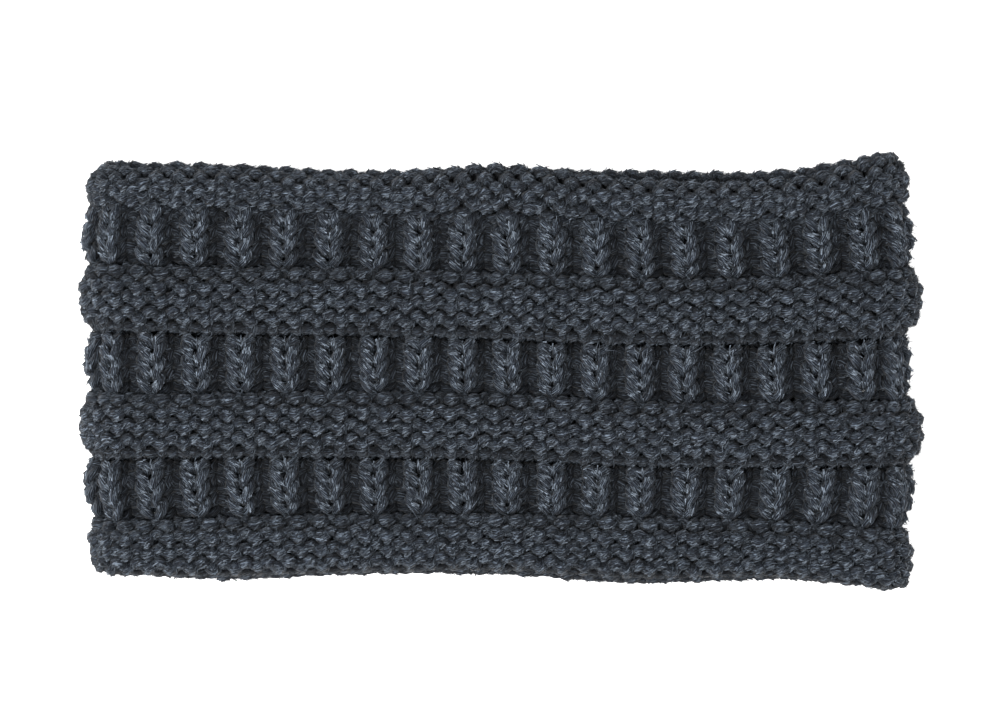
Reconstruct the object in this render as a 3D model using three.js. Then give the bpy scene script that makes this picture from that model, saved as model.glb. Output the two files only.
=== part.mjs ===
// Ear warmer headband: one closed loop of bulky knit, lying flat in two layers.
// Four rolled welts stand proud of three recessed bands of single rib.
// Millimetres. +X runs along the flat width, +Y up the height of the band, +Z up from the floor.
import * as THREE from "three";

// The loop as it lies
const flatWidth = 240; // outside of one side fold to the outside of the other, at the widest welt
const foldRadius = 8; // outside of the ground fabric where the loop turns at a side fold
const layerSag = 3.6; // how far the upper layer sinks halfway between the folds
const restFlat = 0.6; // how much its weight flattens each welt on the floor

// The bands, measured up the height of the headband
const edgeWeltHeight = 12.2;
const weltHeight = 18.6;
const ribBandHeight = 15.8;

// The fabric. The ground is the level of the notches and of the gutters between ribs.
const groundWall = 2.8;
const weltRise = 4.5;
const ribRise = 3;
const weltHollow = 1.6; // how far the inside follows a welt outwards
const ribPitch = 12.6; // one knit column and one purl gutter
const ribCrestWidth = 3.8; // the level top of a knit column
const gutterWidth = 3.3; // the level floor of a gutter
const ribPhase = 2.3; // the middle column's place, from the middle of the upper layer
const stitchLevel = 4; // height above the ground at which stitches keep their pitch round a fold

// Facets round the loop on smooth parts
const foldSteps = 9;
const layerSteps = 14;

// The bands from the top edge down. Left and right say how far out the side folds lie there,
// as a share of the widest fold's.
const bands = [
  { kind: "welt", height: edgeWeltHeight, left: 0.958, right: 0.961 },
  { kind: "rib", height: ribBandHeight, left: 1.003, right: 0.993 },
  { kind: "welt", height: weltHeight, left: 0.997, right: 1 },
  { kind: "rib", height: ribBandHeight, left: 0.988, right: 0.982 },
  { kind: "welt", height: weltHeight, left: 0.992, right: 1 },
  { kind: "rib", height: ribBandHeight, left: 0.99, right: 0.988 },
  { kind: "welt", height: weltHeight, left: 0.968, right: 0.973 },
];

// How the upper layer's lines wander up from level, at seven even places from the left fold to the right one,
// as shares of the height of a rib band. The lines run from the top edge to the bottom edge.
const upperWander = [
  [0, 0, -0.15, 0.07, -0.21, -0.19, 0.32],
  [0.1, 0.07, -0.02, -0.1, -0.19, -0.15, 0.14],
  [0.15, 0.08, 0.06, -0.03, -0.12, -0.1, 0.08],
  [0.09, 0.03, 0, -0.08, -0.17, -0.15, 0],
  [-0.01, -0.01, 0.01, -0.03, -0.17, -0.17, -0.14],
  [-0.04, -0.01, -0.02, -0.06, -0.18, -0.18, -0.16],
  [-0.15, -0.06, -0.01, -0.01, -0.06, -0.13, -0.31],
  [0.04, 0, 0.07, 0.11, -0.05, -0.02, -0.29],
];
// The floor layer's top and bottom edges in the same way. Its lines between them follow in proportion.
const floorWander = {
  top: [0.14, 0.1, -0.02, 0.01, -0.01, -0.02, 0.37],
  bottom: [0.04, -0.11, -0.02, -0.02, -0.18, -0.11, -0.3],
};

// Outlines down a band: "across" is the place as a share of its height, "rise" a share of its rise.
const weltOutline = [
  { across: 0.05, rise: 0 },
  { across: 0, rise: 0.4 },
  { across: 0.08, rise: 0.78 },
  { across: 0.27, rise: 0.96 },
  { across: 0.5, rise: 1 },
  { across: 0.73, rise: 0.96 },
  { across: 0.92, rise: 0.78 },
  { across: 1, rise: 0.4 },
  { across: 0.95, rise: 0 },
];
const ribOutline = [
  { across: 0.1, rise: 0.72 },
  { across: 0.32, rise: 1 },
  { across: 0.68, rise: 1 },
  { across: 0.9, rise: 0.72 },
];
const hollowOutline = [
  { across: 0.95, rise: 0 },
  { across: 0.75, rise: 0.8 },
  { across: 0.5, rise: 1 },
  { across: 0.25, rise: 0.8 },
  { across: 0.05, rise: 0 },
];

const groundHalf = flatWidth / 2 - weltRise;
const reach = groundHalf - foldRadius; // half of the level stretch between the folds
const foldArc = Math.PI * (foldRadius + stitchLevel);
const loopLength = 4 * reach + 2 * foldArc;
const floorLevel = weltRise - restFlat; // the floor layer's ground
const foldLevel = floorLevel + foldRadius;
const ribCount = Math.round(loopLength / ribPitch);
const bandHeight = bands.reduce((sum, band) => sum + band.height, 0);

// A curve through values at even places, read at a share from 0 to 1.
function through(values) {
  const spline = new THREE.SplineCurve(values.map((v, i) => new THREE.Vector2(i, v)));
  return (share) => spline.getPoint(THREE.MathUtils.clamp(share, 0, 1)).y;
}
const upperLines = upperWander.map(through);
const floorTop = through(floorWander.top);
const floorBottom = through(floorWander.bottom);
const leftShare = through(bands.map((band) => band.left));
const rightShare = through(bands.map((band) => band.right));

// The ground's section: the place and outward normal in XZ at a length along the stitches,
// counted from the middle of the upper layer towards +X and once round the loop.
function groundAt(along) {
  const turned = THREE.MathUtils.euclideanModulo(along, loopLength);
  const side = turned > loopLength / 2 ? -1 : 1;
  const run = side > 0 ? turned : loopLength - turned;
  if (run < reach) {
    const sag = layerSag * (0.5 + 0.5 * Math.cos((Math.PI * run) / reach));
    return { x: side * run, z: foldLevel + foldRadius - sag, nx: 0, nz: 1 };
  }
  if (run < reach + foldArc) {
    const angle = (run - reach) / (foldRadius + stitchLevel);
    const nx = side * Math.sin(angle);
    const nz = Math.cos(angle);
    return { x: side * reach + foldRadius * nx, z: foldLevel + foldRadius * nz, nx, nz };
  }
  return { x: side * (2 * reach + foldArc - run), z: floorLevel, nx: 0, nz: -1 };
}

// Each line's level height, from the top edge down to the bottom edge.
const levels = [bandHeight / 2];
for (const band of bands) levels.push(levels.at(-1) - band.height);

// The height of line k at x, in the upper layer (share 1), the floor layer (share 0) or between them in a fold.
function lineHeight(k, x, upperShare) {
  const station = 0.5 + x / flatWidth;
  const down = k / bands.length;
  const floorLine = (1 - down) * floorTop(station) + down * floorBottom(station);
  const wander = THREE.MathUtils.lerp(floorLine, upperLines[k](station), upperShare);
  return levels[k] + ribBandHeight * wander;
}

// A point of the fabric: at a length along the stitches, across a band, at a height off the ground.
function fabricPoint(along, bandIndex, across, off) {
  const ground = groundAt(along);
  const share = (bandIndex + across - 0.5) / (bands.length - 1);
  const x = ground.x * (ground.x < 0 ? leftShare(share) : rightShare(share));
  const upperShare = THREE.MathUtils.smoothstep(ground.z, floorLevel, floorLevel + 2 * foldRadius);
  const y = THREE.MathUtils.lerp(
    lineHeight(bandIndex, x, upperShare),
    lineHeight(bandIndex + 1, x, upperShare),
    across,
  );
  const z = Math.max(ground.z + off * ground.nz, 0);
  return new THREE.Vector3(x + off * ground.nx, y, z);
}

// Places round the loop for the smooth rings: even steps along the layers and finer ones round the folds.
function smoothPlaces() {
  const stretches = [
    { start: -reach, length: 2 * reach, steps: layerSteps },
    { start: reach, length: foldArc, steps: foldSteps },
    { start: reach + foldArc, length: 2 * reach, steps: layerSteps },
    { start: 3 * reach + foldArc, length: foldArc, steps: foldSteps },
  ];
  return stretches.flatMap(({ start, length, steps }) =>
    Array.from({ length: steps }, (_, i) => ({ along: start + (length * i) / steps, crest: 1 })),
  );
}

// Places round the loop for the rib rings: two on each column's crest and two on each gutter's floor.
function ribPlaces() {
  const pitch = loopLength / ribCount;
  const corners = [
    { at: -ribCrestWidth / 2, crest: 1 },
    { at: ribCrestWidth / 2, crest: 1 },
    { at: pitch / 2 - gutterWidth / 2, crest: 0 },
    { at: pitch / 2 + gutterWidth / 2, crest: 0 },
  ];
  const first = ribPhase - Math.floor((ribPhase + reach) / pitch) * pitch;
  return Array.from({ length: ribCount }, (_, i) =>
    corners.map(({ at, crest }) => ({ along: first + i * pitch + at, crest })),
  ).flat();
}

// The rings that bound the fabric, in order: down the outside, round the bottom rim, up the inside, round the top rim.
function fabricRings() {
  const smooth = smoothPlaces();
  const ribbed = ribPlaces();
  const ring = (places, band, across, off) =>
    places.map((place) => ({
      along: place.along,
      point: fabricPoint(place.along, band, across, off(place)),
    }));
  const rings = [];
  bands.forEach((band, i) => {
    const outline = band.kind === "welt" ? weltOutline : ribOutline;
    const places = band.kind === "welt" ? smooth : ribbed;
    const height = band.kind === "welt" ? weltRise : ribRise;
    for (const { across, rise } of outline)
      rings.push(ring(places, i, across, (place) => height * rise * place.crest));
  });
  for (let i = bands.length - 1; i >= 0; i--) {
    if (bands[i].kind !== "welt") continue;
    for (const { across, rise } of hollowOutline)
      rings.push(ring(smooth, i, across, () => weltHollow * rise - groundWall));
  }
  return rings;
}

// Joins two rings with triangles, taking the next corner of whichever ring is behind.
function joinRings(a, b, faces) {
  let i = 0;
  let j = 0;
  const placeOf = (ring, k) => ring[k % ring.length].along + (k >= ring.length ? loopLength : 0);
  while (i < a.length || j < b.length) {
    const stepA = j >= b.length || (i < a.length && placeOf(a, i + 1) <= placeOf(b, j + 1));
    const corners = [a[i % a.length].point, b[j % b.length].point];
    if (stepA) i++;
    else j++;
    corners.push(stepA ? a[i % a.length].point : b[j % b.length].point);
    faces.push(...corners);
  }
}

function knitBand() {
  const rings = fabricRings();
  const faces = [];
  rings.forEach((ring, k) => joinRings(ring, rings[(k + 1) % rings.length], faces));
  const geometry = new THREE.BufferGeometry().setFromPoints(faces);
  geometry.computeBoundingBox();
  const { min, max } = geometry.boundingBox;
  geometry.translate(-(min.x + max.x) / 2, -(min.y + max.y) / 2, -min.z);
  geometry.computeVertexNormals();
  const yarn = new THREE.MeshStandardMaterial({ color: 0x3a424d, roughness: 0.95, metalness: 0 });
  const mesh = new THREE.Mesh(geometry, yarn);
  mesh.name = "knit_band";
  return mesh;
}

const headband = new THREE.Group();
headband.name = "headband";
headband.add(knitBand());

export default headband;
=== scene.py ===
import math

import bpy
import numpy as np
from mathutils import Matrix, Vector


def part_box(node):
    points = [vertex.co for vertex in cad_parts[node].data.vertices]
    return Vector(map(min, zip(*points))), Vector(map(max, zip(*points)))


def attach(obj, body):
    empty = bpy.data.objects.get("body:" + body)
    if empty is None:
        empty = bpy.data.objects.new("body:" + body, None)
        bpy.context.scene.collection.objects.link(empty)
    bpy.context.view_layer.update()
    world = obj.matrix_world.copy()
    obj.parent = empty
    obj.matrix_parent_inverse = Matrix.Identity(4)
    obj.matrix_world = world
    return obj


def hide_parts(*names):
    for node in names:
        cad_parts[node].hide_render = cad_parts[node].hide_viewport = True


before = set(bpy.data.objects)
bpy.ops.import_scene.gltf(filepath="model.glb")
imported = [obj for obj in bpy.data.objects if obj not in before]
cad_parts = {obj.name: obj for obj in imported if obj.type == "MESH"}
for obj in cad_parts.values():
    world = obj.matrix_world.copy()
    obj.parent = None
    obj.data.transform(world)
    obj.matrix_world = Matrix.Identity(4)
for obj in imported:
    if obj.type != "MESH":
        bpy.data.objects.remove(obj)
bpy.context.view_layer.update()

mm = 0.001

# Camera first: the photo looks straight down from above the floor.
view = {
    "photoWidth": 1000,  # pixels
    "photoHeight": 715,
    "pixelSize": 0.284 * mm,  # at the height of the knit
    "middle": (500.9, 370.9),  # where the middle of the headband's outline lies, in pixels
    "distance": 1.2,
    "focusHeight": 16 * mm,
    "sensorWidth": 36,  # millimetres
    "farthest": 20,
}


def makeCamera():
    data = bpy.data.cameras.new("camera")
    data.sensor_width = view["sensorWidth"]
    seenWidth = view["photoWidth"] * view["pixelSize"]
    data.lens = data.sensor_width * (view["distance"] - view["focusHeight"]) / seenWidth
    data.clip_end = view["farthest"]
    camera = bpy.data.objects.new("camera", data)
    x = (view["photoWidth"] / 2 - view["middle"][0]) * view["pixelSize"]
    y = (view["middle"][1] - view["photoHeight"] / 2) * view["pixelSize"]
    camera.location = (x, y, view["distance"])
    bpy.context.scene.collection.objects.link(camera)
    bpy.context.scene.camera = camera


makeCamera()
print("camera placed")

# The loop's sizes are the solid's own: it lies flat, folded at its left and right ends.
loop = {
    "flatWidth": 240 * mm,
    "foldRadius": 8 * mm,  # of the ground fabric, the level between the ribs
    "layerSag": 3.6 * mm,  # how far the upper layer sinks halfway between the folds
    "restFlat": 0.6 * mm,  # how much its weight flattens each welt on the floor
    "weltRise": 4.5 * mm,
    "stitchLevel": 4 * mm,  # height above the ground at which stitches keep their pitch round a fold
    "ribPhase": 2.3 * mm,  # how far right of the middle a column's own middle lies
    "stitches": 80,  # round the loop, two to a rib
    "wanderUnit": 15.8 * mm,  # height of a rib band, which the tables below are shares of
    "floorGap": 0.05 * mm,  # nothing lies lower
}

# From the top edge down. Left and right say how far out the folds lie, as shares of the widest,
# measured on the photo's outline.
bands = [
    {"name": "welt_1", "kind": "welt", "height": 12.2 * mm, "rows": 4, "left": 0.982, "right": 0.974},
    {"name": "rib_1", "kind": "rib", "height": 15.8 * mm, "rows": 4, "left": 1.003, "right": 0.997},
    {"name": "welt_2", "kind": "welt", "height": 18.6 * mm, "rows": 6, "left": 0.999, "right": 1.006},
    {"name": "rib_2", "kind": "rib", "height": 15.8 * mm, "rows": 4, "left": 0.996, "right": 0.988},
    {"name": "welt_3", "kind": "welt", "height": 18.6 * mm, "rows": 6, "left": 0.997, "right": 1.01},
    {"name": "rib_3", "kind": "rib", "height": 15.8 * mm, "rows": 4, "left": 0.999, "right": 0.998},
    {"name": "welt_4", "kind": "welt", "height": 18.6 * mm, "rows": 6, "left": 0.974, "right": 0.981},
]

# How the upper layer's lines wander up from level, at seven even places from left to right.
upperWander = np.array([
    [0, 0, -0.15, 0.07, -0.21, -0.19, 0.32],
    [0.1, 0.07, -0.02, -0.1, -0.19, -0.15, 0.14],
    [0.15, 0.08, 0.06, -0.03, -0.12, -0.1, 0.08],
    [0.09, 0.03, 0, -0.08, -0.17, -0.15, 0],
    [-0.01, -0.01, 0.01, -0.03, -0.17, -0.17, -0.14],
    [-0.04, -0.01, -0.02, -0.06, -0.18, -0.18, -0.16],
    [-0.15, -0.06, -0.01, -0.01, -0.06, -0.13, -0.31],
    [0.04, 0, 0.07, 0.11, -0.05, -0.02, -0.29],
])
# The floor layer's lines run evenly from its top edge's wander to its bottom edge's.
floorTop = [0.14, 0.1, -0.02, 0.01, -0.01, -0.02, 0.37]
floorBottom = [0.04, -0.11, -0.02, -0.02, -0.18, -0.11, -0.3]
floorWander = np.linspace(floorTop, floorBottom, len(bands) + 1)

reach = loop["flatWidth"] / 2 - loop["weltRise"] - loop["foldRadius"]
foldArc = math.pi * (loop["foldRadius"] + loop["stitchLevel"])
loopLength = 4 * reach + 2 * foldArc
stitchWidth = loopLength / loop["stitches"]
floorLevel = loop["weltRise"] - loop["restFlat"]
bandTops = np.cumsum([0] + [band["height"] for band in bands])
bandHeights = np.diff(bandTops)
rowTotal = sum(band["rows"] for band in bands)
bandTopRows = [sum(band["rows"] for band in bands[:i]) for i in range(len(bands))]


def through(values, share):
    # A smooth curve through values at even places; values may be one row or one row per point
    values = np.asarray(values, float)
    last = values.shape[-1] - 1
    place = np.clip(share, 0, 1) * last
    i = np.minimum(place.astype(int), last - 1)
    t = place - i

    def at(k):
        k = np.clip(k, 0, last)
        return values[k] if values.ndim == 1 else values[np.arange(len(values))[:, None], k]

    p0, p1, p2, p3 = at(i - 1), at(i), at(i + 1), at(i + 2)
    return p1 + 0.5 * t * (p2 - p0 + t * (2 * p0 - 5 * p1 + 4 * p2 - p3 + t * (3 * (p1 - p2) + p3 - p0)))


def eased(share):
    return share * share * (3 - 2 * share)


def groundAt(along):
    # Place and outward normal in XZ of the ground fabric, from the middle of the upper layer
    turned = np.mod(along, loopLength)
    side = np.where(turned > loopLength / 2, -1.0, 1.0)
    run = np.where(side > 0, turned, loopLength - turned)
    angle = np.clip((run - reach) / (loop["foldRadius"] + loop["stitchLevel"]), 0, math.pi)
    sag = loop["layerSag"] * (0.5 + 0.5 * np.cos(np.pi * np.minimum(run, reach) / reach))
    across = np.minimum(run, reach) - np.maximum(run - reach - foldArc, 0)
    normalX = side * np.sin(angle)
    normalZ = np.cos(angle)
    x = side * across + loop["foldRadius"] * normalX
    z = floorLevel + loop["foldRadius"] * (1 + normalZ) - np.where(run < reach, sag, 0)
    return x, z, normalX, normalZ


def fabricPoint(along, down, off):
    # A point of the fabric: length along the stitches, distance down from the top edge, height off the ground
    x, z, normalX, normalZ = groundAt(along)
    band = np.clip(np.searchsorted(bandTops, down, "right") - 1, 0, len(bands) - 1)
    across = (down - bandTops[band]) / bandHeights[band]
    share = (band + across - 0.5) / (len(bands) - 1)
    left = through([b["left"] for b in bands], share)
    right = through([b["right"] for b in bands], share)
    x = x * np.where(x < 0, left, right)
    upper = eased(np.clip((z - floorLevel) / (2 * loop["foldRadius"]), 0, 1))
    station = (0.5 + x / loop["flatWidth"]).ravel()[:, None]
    line = []
    for step in (0, 1):
        k = (band + step).ravel()
        high = through(upperWander[k], station)[:, 0].reshape(x.shape)
        low = through(floorWander[k], station)[:, 0].reshape(x.shape)
        level = bandTops[-1] / 2 - bandTops[band + step]
        line.append(level + loop["wanderUnit"] * (low + (high - low) * upper))
    y = line[0] + (line[1] - line[0]) * across
    return np.stack([x + off * normalX, y, z + off * normalZ], -1)


# The fabric's middle seen end on: it arches over each welt and dips between them.
section = {
    "crest": 1.4 * mm,  # the middle at the top of a welt, off the ground
    "weltInset": 2.0 * mm,  # and this far inside the outline in a welt's wall
    "weltDip": 2.7 * mm,  # half-depth of a welt's arch
    "squareness": 2.5,  # of the arch; 2 is round
    "weltTurn": math.radians(122),  # how far round the arch goes at its top
    "footTurn": math.radians(150),  # and at its foot
    "firstFootTurn": math.radians(95),  # the narrow edge welt runs on into its ribs
    "rimTurn": math.radians(160),  # and at the rolled top and bottom edges
    "footShares": [(0, 0), (0.75, 0.75), (0.81, 0.883), (1, 1)],  # arch and rows done: they crowd at the foot
    "ribDive": (4.2 * mm, 3.4 * mm),  # how far the ribs sink at their tops and at their feet
    "diveCurve": 3,  # a higher one keeps the dive nearer to the ends
    "ribTuck": 0.6 * mm,  # how far a rib band runs in under the welts beside it
    # painted shade: the ribs' colour darkens where they dive under the welts, as in the welts' shadow
    "shadeLevels": (-3.8 * mm, -0.7 * mm),  # no light below the first, all of it above the second
    "firstRow": 0.35,  # rows down from a band's top edge to the middle of its first row
    "weltPoints": 160,
    "ribPoints": 60,
    "linePoints": 1600,
    "smoothing": 22,  # points either way
}


def rounded(angle, power):
    # A point of a round outline, squarer for a higher power
    s, c = np.sin(angle), np.cos(angle)
    return np.sign(s) * abs(s) ** (2 / power), np.sign(c) * abs(c) ** (2 / power)


def weltArch(i):
    # The edge welts differ: both have a rolled rim, and the first has a short foot
    top = section["rimTurn"] if i == 0 else section["weltTurn"]
    foot = {0: section["firstFootTurn"], len(bands) - 1: section["rimTurn"]}.get(i, section["footTurn"])
    s, c = rounded(np.linspace(-top, foot, section["weltPoints"]), section["squareness"])
    half = bands[i]["height"] / 2 - section["weltInset"]
    down = bandTops[i] + bands[i]["height"] / 2 + half * s
    return down, section["crest"] - section["weltDip"] * (1 - c)


def ribDip(i):
    # The first rib band doesn't dive at its top, where it runs on from the edge welt
    share = np.linspace(-1, 1, section["ribPoints"])
    topDive, footDive = section["ribDive"]
    dive = np.where(share < 0, 0 if i == 1 else topDive, footDive)
    down = np.linspace(bandTops[i] - section["ribTuck"], bandTops[i + 1] + section["ribTuck"], len(share))
    return down, -dive * abs(share) ** section["diveCurve"]


def sectionLine():
    # Distances down the fabric and levels off the ground, each with the count of rows above it
    downs, levels, counts = [], [], []
    for i, band in enumerate(bands):
        down, level = weltArch(i) if band["kind"] == "welt" else ribDip(i)
        length = np.concatenate([[0], np.cumsum(np.hypot(np.diff(down), np.diff(level)))])
        share = length / length[-1]
        if band["kind"] == "welt" and 0 < i < len(bands) - 1:
            share = np.interp(share, *zip(*section["footShares"]))
        downs.append(down)
        levels.append(level)
        counts.append(bandTopRows[i] + band["rows"] * share)
    return np.concatenate(downs), np.concatenate(levels), np.concatenate(counts)


def smoothed(values):
    # Rounds the corners where one band's line meets the next
    wide = section["smoothing"]
    kernel = np.hanning(2 * wide + 3)[1:-1]
    return np.convolve(np.pad(values, wide, mode="edge"), kernel / kernel.sum(), "valid")


sectionDown, sectionLevel, sectionCounts = sectionLine()
evenCounts = np.linspace(0, rowTotal, section["linePoints"])
lineDown = smoothed(np.interp(evenCounts, sectionCounts, sectionDown))
lineLevel = smoothed(np.interp(evenCounts, sectionCounts, sectionLevel))
slopeDown, slopeLevel = np.gradient(lineDown), np.gradient(lineLevel)
slopeLength = np.hypot(slopeDown, slopeLevel)
slopeDown, slopeLevel = slopeDown / slopeLength, slopeLevel / slopeLength

# How a yarn goes round each stitch. Places and swings are shares of a stitch's width or of a row.
stitch = {
    "samples": 16,  # along a stitch
    "sides": 6,  # round the yarn
    "seed": 7,
    "stagger": 0.731,  # metres of yarn between one row's pattern and the next, so that no two look alike
    # Thickness
    "radius": 1.68 * mm,
    "ribRadius": 1.48 * mm,  # the columns' yarn is pulled thinner
    "flatten": 0.1,  # soft yarn spreads along a welt's face
    "squeeze": 0.14,  # the arcs that stand proud swell and the ones that lie back are squeezed
    "legSqueeze": 0.25,
    "headSwell": 0.18,  # the first row of a welt is the fullest
    "gutterSwell": 0.5,  # the loops in a gutter are slack and close it
    "swell": 0.05,  # how much the thickness varies by chance
    # Across a stitch
    "sway": 0.05,  # how far the legs lean in under the heads
    "ribSway": 0.26,
    "rimSway": 0.1,
    "spread": 0.04,  # the arcs that lie back are the wider ones
    "pinch": 0.03,
    "ribSpread": 0.36,  # how much the knit columns push the gutters together
    # Down the rows: a rise is half a loop's height, a shift is towards the bottom edge
    "rise": 0.74,
    "rimRise": 0.27,
    "secondRise": 0.66,
    "headRise": 0.42,  # the first and last rows of a welt lie along it like cords
    "footRise": 0.42,
    "firstFootRise": 0.85,  # the edge welt's last row reaches down between the columns
    "ribEndRise": 0.52,  # the first and last rows of a rib band stay clear of the welts
    "headShift": 0.22,
    "ribShifts": (0.42, 0.2, 0.0, -0.2),
    "firstRibShifts": (0.0, 0.03, -0.08, -0.2),
    "gutterShifts": (-0.45, -0.32, -0.15, 0.0),  # the gutters' rows close up to the welt above
    "columnShift": 0.4,  # of the columns' tops
    "rimShifts": (0.5, 0.2, -0.35),  # of the first two rows of all, and of the last
    # In and out
    "depth": 1.4 * mm,  # how far heads and legs lie in front of or behind the middle
    "edgeDepth": 0.5 * mm,  # in the first and last rows of a welt
    "ribDepth": 2.0 * mm,
    "rimDepth": 0.6 * mm,
    "rimLead": 0.7 * mm,  # how far each loop at a rim stands out, which scallops the edges
    "sinkerLead": 0.75 * mm,  # low arcs stand proud at a welt's top, high arcs at its foot
    "edgeLead": 0.5,  # share of that lead which the first and last rows keep
    "leadTurn": 0.62,  # where down a welt it changes over
    "footLead": -0.6,
    "ribOut": 0.8 * mm,  # a knit column's middle, off the ground
    "ribIn": -5.0 * mm,  # a purl gutter's middle
    "ribShoulder": 0.5,  # under 1: columns with broad shoulders and narrow gutters
    "ribCrease": 0.6 * mm,  # how far a column sinks down its middle, between its two legs
    "creaseCurve": 12,  # a higher one makes the crease narrower
    "innerLevel": -4.4 * mm,  # further in than this the fabric is pressed flat
    "innerGive": 0.3,
    # Where the ribs begin and end: rows early, and rows they take to change over
    "ribEntry": (0.6, 0.7),
    "firstRibEntry": (0.0, 1.6),
    "ribExit": (0.2, 0.7),
    # By chance, from stitch to stitch
    "unevenPlace": 0.032,
    "unevenRise": 0.06,
    "unevenDepth": 0.08,
    "unevenLevel": 0.12 * mm,
    # Painted shade: how far off the middle light hardly reaches, where the yarn's colour is darkened most,
    # and where it falls in full
    "deepest": -0.3 * mm,
    "ribDeepest": -1.3 * mm,
    "proudest": 3.2 * mm,
    "ribProudest": 4.5 * mm,
    "lightCurve": 1.3,
}


def ribShare(rowsDown):
    # 1 in a rib band, 0 on a welt, eased where they meet: early, and out of sight, under a welt's foot
    share = np.zeros_like(rowsDown)
    for i, (start, band) in enumerate(zip(bandTopRows, bands)):
        if band["kind"] == "rib":
            early, ease = stitch["firstRibEntry"] if i == 1 else stitch["ribEntry"]
            entering = (rowsDown - start + early) / ease
            early, ease = stitch["ribExit"]
            leaving = (start + band["rows"] - early - rowsDown) / ease
            share = np.maximum(share, np.clip(np.minimum(entering, leaving) + 0.5, 0, 1))
    return eased(share)


def leadAt(rowsDown):
    # How far the low arcs lead the high ones, from 1 at the top of a welt to under 0 at its foot
    lead = np.zeros_like(rowsDown)
    for start, band in zip(bandTopRows, bands):
        if band["kind"] == "welt":
            share = (rowsDown - start) / band["rows"]
            inside = abs(share - 0.5) <= 0.6  # the welt and a tenth of its height past each end
            lead = np.where(inside, np.clip(1 - share / stitch["leadTurn"], stitch["footLead"], 1), lead)
    return lead


def unevenness(rng, step, size):
    # One random value a stitch, eased from stitch to stitch round the loop
    n = loop["stitches"]
    values = rng.normal(0, size, (rowTotal, n))
    i = np.floor(step).astype(int)
    t = eased(step - i)
    return values[:, i % n] * (1 - t) + values[:, (i + 1) % n] * t


def normalised(vectors):
    return vectors / np.maximum(np.linalg.norm(vectors, axis=-1, keepdims=True), 1e-12)


def blended(plain, other, share):
    return plain + (other - plain) * share


def rowPlan():
    # What sets each row apart, as columns with a number for every row
    names = ("rim", "edge", "head", "columnShift", "gutterShift")
    plan = {name: np.zeros((rowTotal, 1)) for name in names}
    place = np.arange(rowTotal)[:, None] + section["firstRow"]
    rise = np.full((rowTotal, 1), stitch["rise"])
    for i, (top, band) in enumerate(zip(bandTopRows, bands)):
        if band["kind"] == "welt":
            continue
        end = top + band["rows"]
        plan["edge"][end] = 1
        plan["head"][end] = 1
        plan["gutterShift"][top:end, 0] = stitch["gutterShifts"]
        rise[end - 1] = stitch["ribEndRise"]
        rise[end] = stitch["headRise"]
        place[end] += stitch["headShift"]
        if i == 1:
            rise[top - 1] = stitch["firstFootRise"]
            place[top:end, 0] += stitch["firstRibShifts"]
        else:
            plan["edge"][top - 1] = 1
            plan["columnShift"][top] = stitch["columnShift"]
            rise[top - 1] = stitch["footRise"]
            rise[top] = stitch["ribEndRise"]
            place[top:end, 0] += stitch["ribShifts"]
    plan["rim"][[0, -1]] = 1
    rise[[0, -1]] = stitch["rimRise"]
    rise[1] = stitch["secondRise"]
    place[[0, 1, -1], 0] += stitch["rimShifts"]
    return {**plan, "place": place, "rise": rise}


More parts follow.
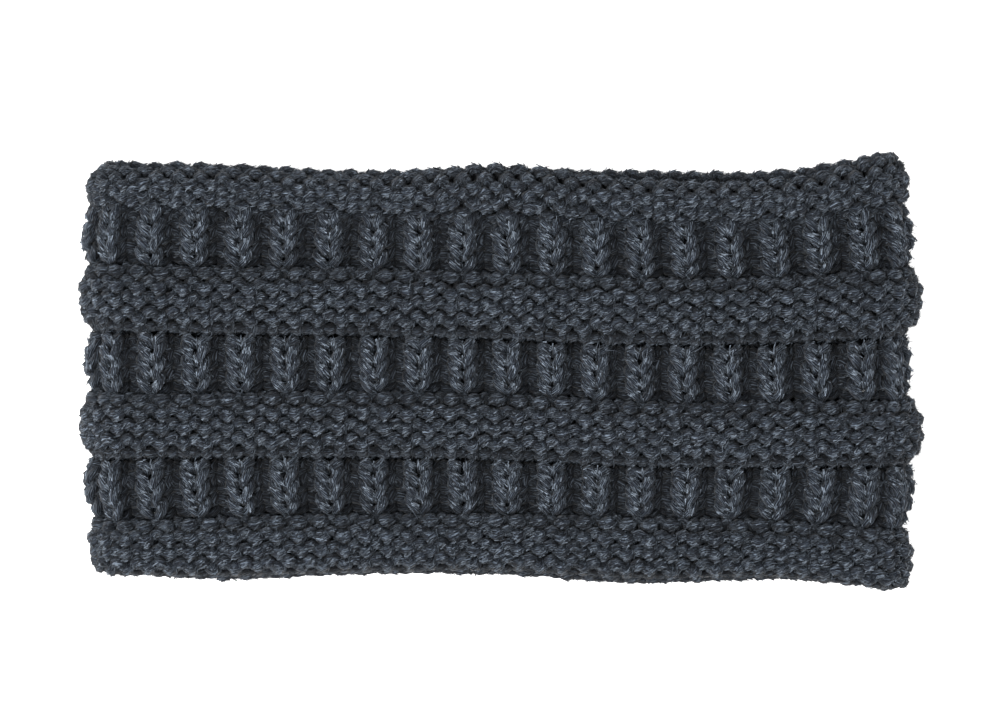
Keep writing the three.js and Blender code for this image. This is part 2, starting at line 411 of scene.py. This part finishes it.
def yarnLines():
    # Centre lines of every row, as an array of rows by samples by XYZ
    rng = np.random.default_rng(stitch["seed"])
    step = np.arange(loop["stitches"] * stitch["samples"]) / stitch["samples"]
    t = 2 * np.pi * step[None, :]
    plan = rowPlan()
    rim, edge = plan["rim"], plan["edge"]

    def wobble(size):
        return unevenness(rng, step, size)

    # Down the rows
    face = np.cos(np.pi * (step[None, :] - 0.5))  # 1 in the middle of a column, -1 in a gutter
    column, gutter = np.clip(face, 0, 1), np.clip(-face, 0, 1)
    swing = plan["rise"] * (1 + wobble(stitch["unevenRise"])) * np.cos(t)
    rowsDown = plan["place"] + swing + wobble(stitch["unevenPlace"])
    rowsDown += plan["columnShift"] * column * (1 - np.cos(t)) / 2 + plan["gutterShift"] * gutter
    rib = ribShare(rowsDown)
    lead = leadAt(plan["place"]) * (1 - rib) * (1 - (1 - stitch["edgeLead"]) * edge)
    side = lead * np.cos(t)

    # Across the stitches: each loop narrows at its foot, and the columns spread
    sway = blended(stitch["sway"], stitch["ribSway"], rib) - stitch["spread"] * side + stitch["rimSway"] * rim
    across = step[None, :] + sway * np.sin(2 * t) - stitch["pinch"] * lead * np.sin(t)
    across += wobble(stitch["unevenPlace"])
    knit = np.cos(np.pi * (across - 0.5))
    across = across + rib * stitch["ribSpread"] / np.pi * np.sin(np.pi * (across - 0.5))

    # In and out: heads stand proud where the purl side faces out, and legs in the knit columns
    facing = -1 + rib * (knit + 1)
    depth = blended(stitch["depth"], stitch["rimDepth"], rim) + (stitch["ribDepth"] - stitch["depth"]) * rib
    depth += (stitch["edgeDepth"] - stitch["depth"]) * edge * (1 - rib)
    off = -facing * depth * (1 + wobble(stitch["unevenDepth"])) * np.cos(2 * t) + stitch["sinkerLead"] * side
    off += rib * blended(stitch["ribIn"], stitch["ribOut"], ((1 + knit) / 2) ** stitch["ribShoulder"])
    off -= rib * stitch["ribCrease"] * np.clip(knit, 0, 1) ** stitch["creaseCurve"]
    off += rim * stitch["rimLead"] * np.cos(t) + wobble(stitch["unevenLevel"])
    pressed = stitch["innerLevel"] + stitch["innerGive"] * (off - stitch["innerLevel"])
    off = np.where(off < stitch["innerLevel"], pressed, off)

    # Thickness
    weltRadius = stitch["radius"] * (1 + stitch["headSwell"] * plan["head"] * (1 - rib))
    radius = blended(weltRadius, stitch["ribRadius"], rib)
    radius = radius * (1 + stitch["gutterSwell"] * rib * gutter)
    radius = radius * (1 + stitch["squeeze"] * side - stitch["legSqueeze"] * (1 - rib) * np.sin(t) ** 2)

    # Onto the fabric's own curve
    down = np.interp(rowsDown, evenCounts, lineDown)
    level = np.interp(rowsDown, evenCounts, lineLevel)
    outDown = -np.interp(rowsDown, evenCounts, slopeLevel)
    outLevel = np.interp(rowsDown, evenCounts, slopeDown)
    # Column 0 starts in the middle of the floor layer, so that each row closes out of sight
    along = loop["ribPhase"] + (across - 0.5 + loop["stitches"] // 2) * stitchWidth
    place = fabricPoint(along, down + off * outDown, level + off * outLevel)
    further = fabricPoint(along, down + (off + mm) * outDown, level + (off + mm) * outLevel)
    outward = normalised(further - place)
    # Painted shade: the ribs' colour darkens where they dive under the welts
    low, high = section["shadeLevels"]
    lit = 1 - rib * (1 - np.clip((level - low) / (high - low), 0, 1))
    return {"lines": place, "radius": radius, "outward": outward, "off": off, "rib": rib, "lit": lit}


def yarnFrames(lines):
    # Tangent and two side directions at each sample, carried along without twist and closed evenly
    tangent = normalised(np.roll(lines, -1, 1) - np.roll(lines, 1, 1))
    first = np.cross(tangent, np.array([0.0, 1.0, 0.0]))
    side = np.zeros_like(lines)
    current = normalised(first[:, 0])
    start = current.copy()
    for k in range(lines.shape[1]):
        t = tangent[:, k]
        current = normalised(current - (current * t).sum(-1, keepdims=True) * t)
        side[:, k] = current
    t = tangent[:, 0]
    back = normalised(current - (current * t).sum(-1, keepdims=True) * t)
    turn = np.arctan2((np.cross(back, start) * t).sum(-1), (back * start).sum(-1))
    other = np.cross(tangent, side)
    angle = turn[:, None, None] * np.linspace(0, 1, lines.shape[1])[None, :, None]
    return tangent, side * np.cos(angle) + other * np.sin(angle), other * np.cos(angle) - side * np.sin(angle)


def paintedLightOf(proud, rib):
    # Painted shade: 0 deep between the stitches, where the colour is darkened most, 1 on the parts that stand
    # proud
    low = blended(stitch["deepest"], stitch["ribDeepest"], rib)
    high = blended(stitch["proudest"], stitch["ribProudest"], rib)
    return np.clip((proud - low) / (high - low), 0, 1) ** stitch["lightCurve"]


def makeKnit():
    # The yarn's skin: rings of points round every sample of every row, and what its looks need to know
    yarn = yarnLines()
    lines, radius, outward = yarn["lines"], yarn["radius"], yarn["outward"]
    tangent, side, other = yarnFrames(lines)
    gaps = np.linalg.norm(np.roll(lines, -1, 1) - lines, axis=-1)
    lengths = np.concatenate([np.zeros((rowTotal, 1)), np.cumsum(gaps, 1)], 1)
    lengths += np.arange(rowTotal)[:, None] * stitch["stagger"]
    angle = 2 * np.pi * np.arange(stitch["sides"]) / stitch["sides"]
    around = side[:, :, None] * np.cos(angle)[:, None] + other[:, :, None] * np.sin(angle)[:, None]
    rng = np.random.default_rng(stitch["seed"] + 1)
    swell = 1 + stitch["swell"] * rng.normal(0, 1, lines.shape[:2])
    swell = (swell + np.roll(swell, 1, 1) + np.roll(swell, -1, 1) + np.roll(swell, 2, 1)) / 4
    rise = (around * outward[:, :, None]).sum(-1)
    flatten = (stitch["flatten"] * (1 - yarn["rib"]))[:, :, None]
    oval = (1 + flatten[..., None]) * around - (2 * flatten * rise)[..., None] * outward[:, :, None]
    proud = yarn["off"][:, :, None] + radius[:, :, None] * (1 - flatten) * rise
    stretch = np.repeat(yarn["rib"][..., None], stitch["sides"], -1)
    return {
        "rings": lines[:, :, None] + (radius * swell)[:, :, None, None] * oval,
        "around": around,
        "lengths": lengths,
        "tangent": tangent,
        "outward": outward,
        # painted shade: darker deep between the stitches and where the ribs dive under the welts
        "paintedLight": paintedLightOf(proud, stretch) * yarn["lit"][:, :, None],
        "stretch": stretch,
    }


def buildMesh(name, vertices, corners, size, uvs):
    mesh = bpy.data.meshes.new(name)
    mesh.vertices.add(len(vertices))
    mesh.vertices.foreach_set("co", vertices.astype(np.float32).ravel())
    mesh.loops.add(len(corners))
    mesh.loops.foreach_set("vertex_index", corners.astype(np.int32))
    count = len(corners) // size
    mesh.polygons.add(count)
    mesh.polygons.foreach_set("loop_start", np.arange(count, dtype=np.int32) * size)
    mesh.polygons.foreach_set("use_smooth", np.ones(count, bool))
    mesh.update(calc_edges=True)
    for uvName, values in uvs.items():
        layer = mesh.uv_layers.new(name=uvName)
        layer.uv.foreach_set("vector", values.astype(np.float32))
    piece = bpy.data.objects.new(name, mesh)
    bpy.context.scene.collection.objects.link(piece)
    return piece


def markPoints(piece, attribute, values):
    layer = piece.data.attributes.new(attribute, "FLOAT", "POINT")
    layer.data.foreach_set("value", values.reshape(-1).astype(np.float32))


def makeRows(name, rows):
    # A closed tube for each row
    rings, lengths = knit["rings"][rows], knit["lengths"][rows]
    count, samples, sides, _ = rings.shape
    row, k, s = np.meshgrid(np.arange(count), np.arange(samples), np.arange(sides), indexing="ij")

    def pointAt(k, s):
        return (row * samples + k % samples) * sides + s % sides

    faces = [pointAt(k, s), pointAt(k + 1, s), pointAt(k + 1, s + 1), pointAt(k, s + 1)]
    corners = np.stack(faces, -1).reshape(-1)
    u0, u1 = lengths[row, k], lengths[row, k + 1]
    v0, v1 = s / sides, (s + 1) / sides
    uv = np.stack([u0, v0, u1, v0, u1, v1, u0, v1], -1).reshape(-1)
    piece = buildMesh(name, rings.reshape(-1, 3), corners, 4, {"yarnPath": uv})
    # The first carries the painted shade that darkens the yarn's colour deep between the stitches
    for attribute in ("paintedLight", "stretch"):
        markPoints(piece, attribute, knit[attribute][rows])
    return piece


print("knitting the rows")
knit = makeKnit()
lowest, highest = knit["rings"].reshape(-1, 3).min(0), knit["rings"].reshape(-1, 3).max(0)
cadLow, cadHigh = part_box("knit_band")
shift = [(cadLow[i] + cadHigh[i]) / 2 - (lowest[i] + highest[i]) / 2 for i in (0, 1)]
knit["rings"] = knit["rings"] + np.array([*shift, 0.0])
knit["rings"][..., 2] = np.maximum(knit["rings"][..., 2], loop["floorGap"])


def toLinear(hexColour):
    # sRGB hex to linear RGBA
    parts = [int(hexColour[i:i + 2], 16) / 255 for i in (1, 3, 5)]
    linear = [p / 12.92 if p <= 0.04045 else ((p + 0.055) / 1.055) ** 2.4 for p in parts]
    return (*linear, 1.0)


def newMaterial(name):
    mat = bpy.data.materials.new(name)
    mat.use_nodes = True
    mat.node_tree.nodes.clear()
    return mat


def addNode(tree, kind, settings, inputs, output=0):
    # Adds a node, sets its properties, and gives its inputs plain values or links to other nodes' outputs
    node = tree.nodes.new("ShaderNode" + kind)
    for name, value in settings.items():
        setattr(node, name, value)
    for socket, value in inputs.items() if isinstance(inputs, dict) else enumerate(inputs):
        if isinstance(value, bpy.types.NodeSocket):
            tree.links.new(value, node.inputs[socket])
        else:
            node.inputs[socket].default_value = value
    return node.outputs[output] if node.outputs else None


# Bulky acrylic, carded and plied in an S twist: matt, hairy, with fine strands; the light they catch is
# partly painted into the colour as highlights on their backs and shade between them
yarnLook = {
    # tones run from between the strands to their backs: the yarn's own grain, with painted shade between the
    # strands and painted highlights on their backs
    "tones": [(0.05, "#0A0C11"), (0.4, "#242A33"), (0.9, "#656F7B")],  # between the strands to their backs
    "roughness": 0.65,
    "ior": 1.49,
    "specular": 0.06,  # a carded yarn scatters nearly all of its gloss
    "sheen": 0.04,
    "sheenRoughness": 0.5,
    "twistPitch": 21 * mm,  # one turn of the plies
    "plies": 5,
    "strands": 15,  # round the yarn, 0.7 mm apart
    "strandCurve": 1.6,  # a higher one makes them thinner
    "strandShares": (0.25, 0.7),  # beside the fibres: on the welts, and stretched in the ribs
    "drift": (1.6 * mm, 4 * mm),  # width and length of the patches in which the strands wander
    "driftTurns": 1.6,  # strands aside
    "fibres": (0.3 * mm, 1.2 * mm),  # real ones are 0.02 mm wide: drawn as coarse as they need to show
    "fibreCurve": 8.0,
    "patches": (0.7 * mm, 1.5 * mm),  # lighter and darker places
    "patchContrast": 3.0,
    "patchStart": -0.95,
    "patchDepth": 0.6,
    "plyRelief": 0.4,  # the rest of the relief is the strands'
    "reliefHeight": 0.35 * mm,
    "reliefStrength": 0.8,
    # painted shade: the least share of its colour that the yarn keeps
    "shade": 0.12,  # how much of its colour a strand deep between the stitches keeps
}


def acrylicYarn():
    look = yarnLook
    mat = newMaterial("acrylicYarn")
    tree = mat.node_tree
    path = addNode(tree, "UVMap", {"uv_map": "yarnPath"}, [])
    length = addNode(tree, "SeparateXYZ", {}, [path])
    girth = length.node.outputs[1]
    turn = addNode(tree, "Math", {"operation": "MULTIPLY_ADD"}, [length, 1 / look["twistPitch"], girth])
    angle = addNode(tree, "Math", {"operation": "MULTIPLY"}, [turn, 2 * math.pi])
    cosine = addNode(tree, "Math", {"operation": "COSINE"}, [angle])
    sine = addNode(tree, "Math", {"operation": "SINE"}, [angle])
    circle = addNode(tree, "CombineXYZ", {}, [cosine, sine, length])

    def streaks(size, detail):
        # Noise drawn out along the twisted strands, between 0 and 1
        turns = stitch["radius"] / size[0]
        place = addNode(tree, "VectorMath", {"operation": "MULTIPLY"}, [circle, (turns, turns, 1 / size[1])])
        settings = {"Vector": place, "Scale": 1.0, "Detail": detail, "Roughness": 0.6}
        return addNode(tree, "TexNoise", {}, settings)

    # Strands that follow the twist and wander a little
    drift = streaks(look["drift"], 1.0)
    wander = addNode(tree, "Math", {"operation": "MULTIPLY"}, [drift, look["driftTurns"]])
    phase = addNode(tree, "Math", {"operation": "MULTIPLY_ADD"}, [turn, look["strands"], wander])
    strandAngle = addNode(tree, "Math", {"operation": "MULTIPLY"}, [phase, 2 * math.pi])
    wave = addNode(tree, "Math", {"operation": "COSINE"}, [strandAngle])
    bulge = addNode(tree, "Math", {"operation": "MULTIPLY_ADD"}, [wave, 0.5, 0.5])
    strands = addNode(tree, "Math", {"operation": "POWER"}, [bulge, look["strandCurve"]])

    # Fibres: thin lines where the noise passes its middle
    fromMiddle = addNode(tree, "Math", {"operation": "SUBTRACT"}, [streaks(look["fibres"], 0.0), 0.5])
    distance = addNode(tree, "Math", {"operation": "ABSOLUTE"}, [fromMiddle])
    clamped = {"operation": "MULTIPLY_ADD", "use_clamp": True}
    lines = addNode(tree, "Math", clamped, [distance, -look["fibreCurve"], 1.0])

    # Both together, the strands more where the yarn is stretched, and lighter in patches
    onWelt, onRib = look["strandShares"]
    stretch = addNode(tree, "Attribute", {"attribute_name": "stretch"}, [], "Fac")
    strandShare = addNode(tree, "Math", {"operation": "MULTIPLY_ADD"}, [stretch, onRib - onWelt, onWelt])
    fibreShare = addNode(tree, "Math", {"operation": "SUBTRACT"}, [1.0, strandShare])
    fineHairs = addNode(tree, "Math", {"operation": "MULTIPLY"}, [lines, fibreShare])
    hairs = addNode(tree, "Math", {"operation": "MULTIPLY_ADD"}, [strands, strandShare, fineHairs])
    patchTones = [streaks(look["patches"], 1.0), look["patchContrast"], look["patchStart"]]
    patches = addNode(tree, "Math", clamped, patchTones)
    patchLight = [patches, look["patchDepth"], 1 - look["patchDepth"]]
    lighter = addNode(tree, "Math", {"operation": "MULTIPLY_ADD"}, patchLight)
    tone = addNode(tree, "Math", {"operation": "MULTIPLY"}, [hairs, lighter])
    # The ramp paints shade between the strands and highlights on their backs, over the yarn's own grain
    colour = addNode(tree, "ValToRGB", {}, [tone])
    stops = colour.node.color_ramp.elements
    (darkAt, dark), (middleAt, middle), (lightAt, light) = look["tones"]
    stops[0].position = darkAt
    stops[0].color = toLinear(dark)
    stops[1].position = lightAt
    stops[1].color = toLinear(light)
    stops.new(middleAt).color = toLinear(middle)

    # Painted shade: the colour is darkened where the yarn lies deep between the stitches, where less light
    # reaches
    paintedLight = addNode(tree, "Attribute", {"attribute_name": "paintedLight"}, [], "Fac")
    kept = addNode(tree, "Math", {"operation": "MULTIPLY_ADD"}, [paintedLight, 1 - look["shade"], look["shade"]])
    paintedShadeColour = addNode(tree, "VectorMath", {"operation": "SCALE"}, {0: colour, "Scale": kept})

    # Plies and strands stand up
    plyAngle = addNode(tree, "Math", {"operation": "MULTIPLY"}, [turn, 2 * math.pi * look["plies"]])
    plyWave = addNode(tree, "Math", {"operation": "COSINE"}, [plyAngle])
    plies = addNode(tree, "Math", {"operation": "MULTIPLY_ADD"}, [plyWave, 0.5, 0.5])
    strandRelief = addNode(tree, "Math", {"operation": "MULTIPLY"}, [hairs, 1 - look["plyRelief"]])
    relief = addNode(tree, "Math", {"operation": "MULTIPLY_ADD"}, [plies, look["plyRelief"], strandRelief])
    bump = addNode(tree, "Bump", {}, {"Strength": look["reliefStrength"], "Distance": look["reliefHeight"],
                                      "Height": relief})
    shader = addNode(tree, "BsdfPrincipled", {}, {
        "Base Color": paintedShadeColour, "Normal": bump, "Roughness": look["roughness"], "IOR": look["ior"],
        "Specular IOR Level": look["specular"], "Sheen Weight": look["sheen"],
        "Sheen Roughness": look["sheenRoughness"],
    })
    addNode(tree, "OutputMaterial", {}, [shader])
    return mat


yarnMaterial = acrylicYarn()
for top, band in zip(bandTopRows, bands):
    piece = makeRows(band["name"], slice(top, top + band["rows"]))
    piece.data.materials.append(yarnMaterial)
    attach(piece, "root")
    if top == 0:
        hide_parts("knit_band")
    print(band["name"], len(piece.data.polygons) * 2, "triangles")


# The yarn's own fibres: strands that lie along the twist, and finer loose ones that leave it
strandKind = {
    "count": 190000,
    "segments": 1,
    "length": (0.8 * mm, 1.9 * mm),
    "width": 0.3 * mm,  # far coarser than a real one, so that it shows
    "lift": 0.04,  # how steeply it leaves the yarn
    "stray": 0.3,  # how far it turns aside from the strands
    "bend": 0.08,
    "centred": 0.5,  # share of its length that lies behind its root
}
looseKind = {
    "count": 30000,
    "segments": 2,
    "length": (1.2 * mm, 2.8 * mm),
    "width": 0.12 * mm,
    "lift": 0.25,
    "stray": 0.5,
    "bend": 0.5,
    "centred": 0,
}
fibres = {
    "kinds": [
        {"name": "strands_1", **strandKind},
        {"name": "strands_2", **strandKind},
        {"name": "loose_fibres", **looseKind},
    ],
    "seed": 11,
    "dark": "#07090C",
    "light": "#747E8A",
    "roughness": 0.6,
    "specular": 0.1,
    "toneCurve": 1.9,  # most are dark and a few are light
    # painted highlight: the fibres in the ribs are drawn lighter than those on the welts
    "weltHighlight": 0.5,  # how light the ones on the welts get, beside those stretched in the ribs
    "underside": 0.25,  # how many lie on the layer against the floor, beside the upper one
    "turnedDown": -0.5,  # height of the outward direction under which the yarn belongs to that layer
    "tries": 9,  # places looked at for each fibre that is wanted
    "leastFacing": -0.05,  # 1 is the yarn's outermost side, 0 half-way round
    "rarer": 0.75,  # deep between the stitches
    "deepShare": 0.1,  # a few grow there all the same
    "calm": 0.7,  # how much less they stray in stretched yarn and at the rims
    "scatter": 0.4 * mm,
    "off": 0.05 * mm,  # off the yarn's skin
    "leastLift": 0.3,  # share of a kind's lift that every fibre has
    "inward": 0.8,  # loose ones bend back towards the yarn
    "tilt": 0.3,
    "taper": 0.5,
}


def acrylicFibre():
    # Single drawn acrylic filaments: darker and lighter ones side by side, with little gloss
    mat = newMaterial("acrylicFibre")
    tree = mat.node_tree
    tone = addNode(tree, "Attribute", {"attribute_name": "tone"}, [], "Fac")
    colour = addNode(tree, "ValToRGB", {}, [tone])
    stops = colour.node.color_ramp.elements
    stops[0].color = toLinear(fibres["dark"])
    stops[1].color = toLinear(fibres["light"])
    shader = addNode(tree, "BsdfPrincipled", {}, {
        "Base Color": colour, "Roughness": fibres["roughness"], "Specular IOR Level": fibres["specular"],
    })
    addNode(tree, "OutputMaterial", {}, [shader])
    return mat


def fibrePlaces(count, rng):
    # Row, sample and side of the yarn's points that fibres start from: on top, and seldom deep down
    shape = knit["rings"].shape[:3]
    row, k, side = np.unravel_index(rng.integers(0, np.prod(shape), count * fibres["tries"]), shape)
    outward = knit["outward"][row, k]
    facing = (knit["around"][row, k, side] * outward).sum(-1)
    shown = knit["paintedLight"][row, k, side]
    upward = outward[:, 2] > fibres["turnedDown"]
    wanted = np.where(upward, 1, fibres["underside"]) > rng.random(len(shown))
    wanted &= facing > fibres["leastFacing"]
    wanted &= shown > fibres["rarer"] * rng.random(len(shown)) - fibres["deepShare"]
    keep = np.nonzero(wanted)[0][:count]
    return row[keep], k[keep], side[keep]


def makeFibres(kind, rng, mat):
    row, k, side = fibrePlaces(kind["count"], rng)
    count, segments = len(row), kind["segments"]
    away, tangent = knit["around"][row, k, side], knit["tangent"][row, k]
    stretch = knit["stretch"][row, k, side]
    lean = 2 * math.pi * stitch["radius"] / yarnLook["twistPitch"]
    forward = normalised(tangent - lean * np.cross(tangent, away)) * rng.choice([-1.0, 1.0], (count, 1))
    calm = fibres["calm"] * np.maximum(stretch, abs(knit["outward"][row, k, 1]))[:, None]
    stray = kind["stray"] * (1 - calm) * rng.normal(0, 1, (count, 1)) * np.cross(forward, away)
    lift = kind["lift"] * (fibres["leastLift"] + rng.random((count, 1)))
    direction = normalised(forward + stray + lift * away)
    bend = normalised(rng.normal(0, 1, (count, 3)) - fibres["inward"] * away) * kind["bend"]
    length = rng.uniform(*kind["length"], (count, 1))
    width = normalised(np.cross(direction, away + fibres["tilt"] * rng.normal(0, 1, (count, 3))))

    # Each starts somewhere on the edge between two of the yarn's points
    here, beside = knit["rings"][row, k, side], knit["rings"][row, k, (side + 1) % stitch["sides"]]
    root = here + (beside - here) * rng.random((count, 1)) + fibres["off"] * away
    root += (fibres["scatter"] * rng.normal(0, 1, (count, 1)) - kind["centred"] * length) * forward
    share = (np.arange(segments) / segments)[None, :, None]
    path = root[:, None] + length[:, None] * (share * direction[:, None] + share ** 2 * bend[:, None])
    half = kind["width"] / 2 * width[:, None] * (1 - fibres["taper"] * share)
    tip = root + length * (direction + bend)
    edges = np.stack([path - half, path + half], 2).reshape(count, -1, 3)
    vertices = np.concatenate([edges, tip[:, None]], 1)
    vertices[..., 2] = np.maximum(vertices[..., 2], loop["floorGap"])
    size = 2 * segments + 1
    strip = np.array([[i, i + 1, i + 2] if i % 2 == 0 else [i, i + 2, i + 1] for i in range(size - 2)])
    corners = (np.arange(count)[:, None, None] * size + strip).reshape(-1)
    piece = buildMesh(kind["name"], vertices.reshape(-1, 3), corners, 3, {})

    # Painted shade and highlight: fibres deep between the stitches are darker, and those in the ribs lighter
    # than those on the welts
    ribHighlight = blended(fibres["weltHighlight"], 1, stretch)
    tone = rng.random(count) ** fibres["toneCurve"] * knit["paintedLight"][row, k, side] * ribHighlight
    markPoints(piece, "tone", np.repeat(tone, size))
    piece.data.materials.append(mat)
    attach(piece, "root")
    print(kind["name"], len(piece.data.polygons), "triangles")


fibreMaterial = acrylicFibre()
fibreRng = np.random.default_rng(fibres["seed"])
for kind in fibres["kinds"]:
    makeFibres(kind, fibreRng, fibreMaterial)

# Studio: a plain pale floor and soft light from a white surround
studio = {
    "floorColour": "#F8F8F8",
    "floorRoughness": 0.9,
    "floorReach": 3,
    "floorDrop": 0.1 * mm,
    "worldStrength": 1.7,
    "lights": [
        {"name": "keyLight", "place": (-0.55, -0.15, 1.2), "size": 0.5, "power": 30},
        {"name": "leftLight", "place": (-0.9, 0, 0.25), "size": 0.5, "power": 9},  # low, for the folded ends
        {"name": "rightLight", "place": (0.9, 0, 0.25), "size": 0.5, "power": 6},
    ],
}


def mattPaper():
    # Background paper: white, with no shine
    mat = newMaterial("mattPaper")
    look = {"Base Color": toLinear(studio["floorColour"]), "Roughness": studio["floorRoughness"]}
    addNode(mat.node_tree, "OutputMaterial", {}, [addNode(mat.node_tree, "BsdfPrincipled", {}, look)])
    return mat


def makeStudio():
    out, drop = studio["floorReach"], studio["floorDrop"]
    corners = np.array([[-out, -out, -drop], [out, -out, -drop], [out, out, -drop], [-out, out, -drop]])
    floor = buildMesh("floor", corners, np.arange(4), 4, {})
    floor.data.materials.append(mattPaper())
    world = bpy.data.worlds.new("studio")
    world.use_nodes = True
    background = world.node_tree.nodes["Background"]
    background.inputs["Color"].default_value = (1, 1, 1, 1)
    background.inputs["Strength"].default_value = studio["worldStrength"]
    bpy.context.scene.world = world
    for light in studio["lights"]:
        data = bpy.data.lights.new(light["name"], "AREA")
        data.size = light["size"]
        data.energy = light["power"]
        lamp = bpy.data.objects.new(light["name"], data)
        lamp.location = light["place"]
        lamp.rotation_euler = (-Vector(light["place"])).to_track_quat("-Z", "Y").to_euler()
        bpy.context.scene.collection.objects.link(lamp)


makeStudio()
bpy.context.scene.view_settings.view_transform = "Standard"
print("studio lit")
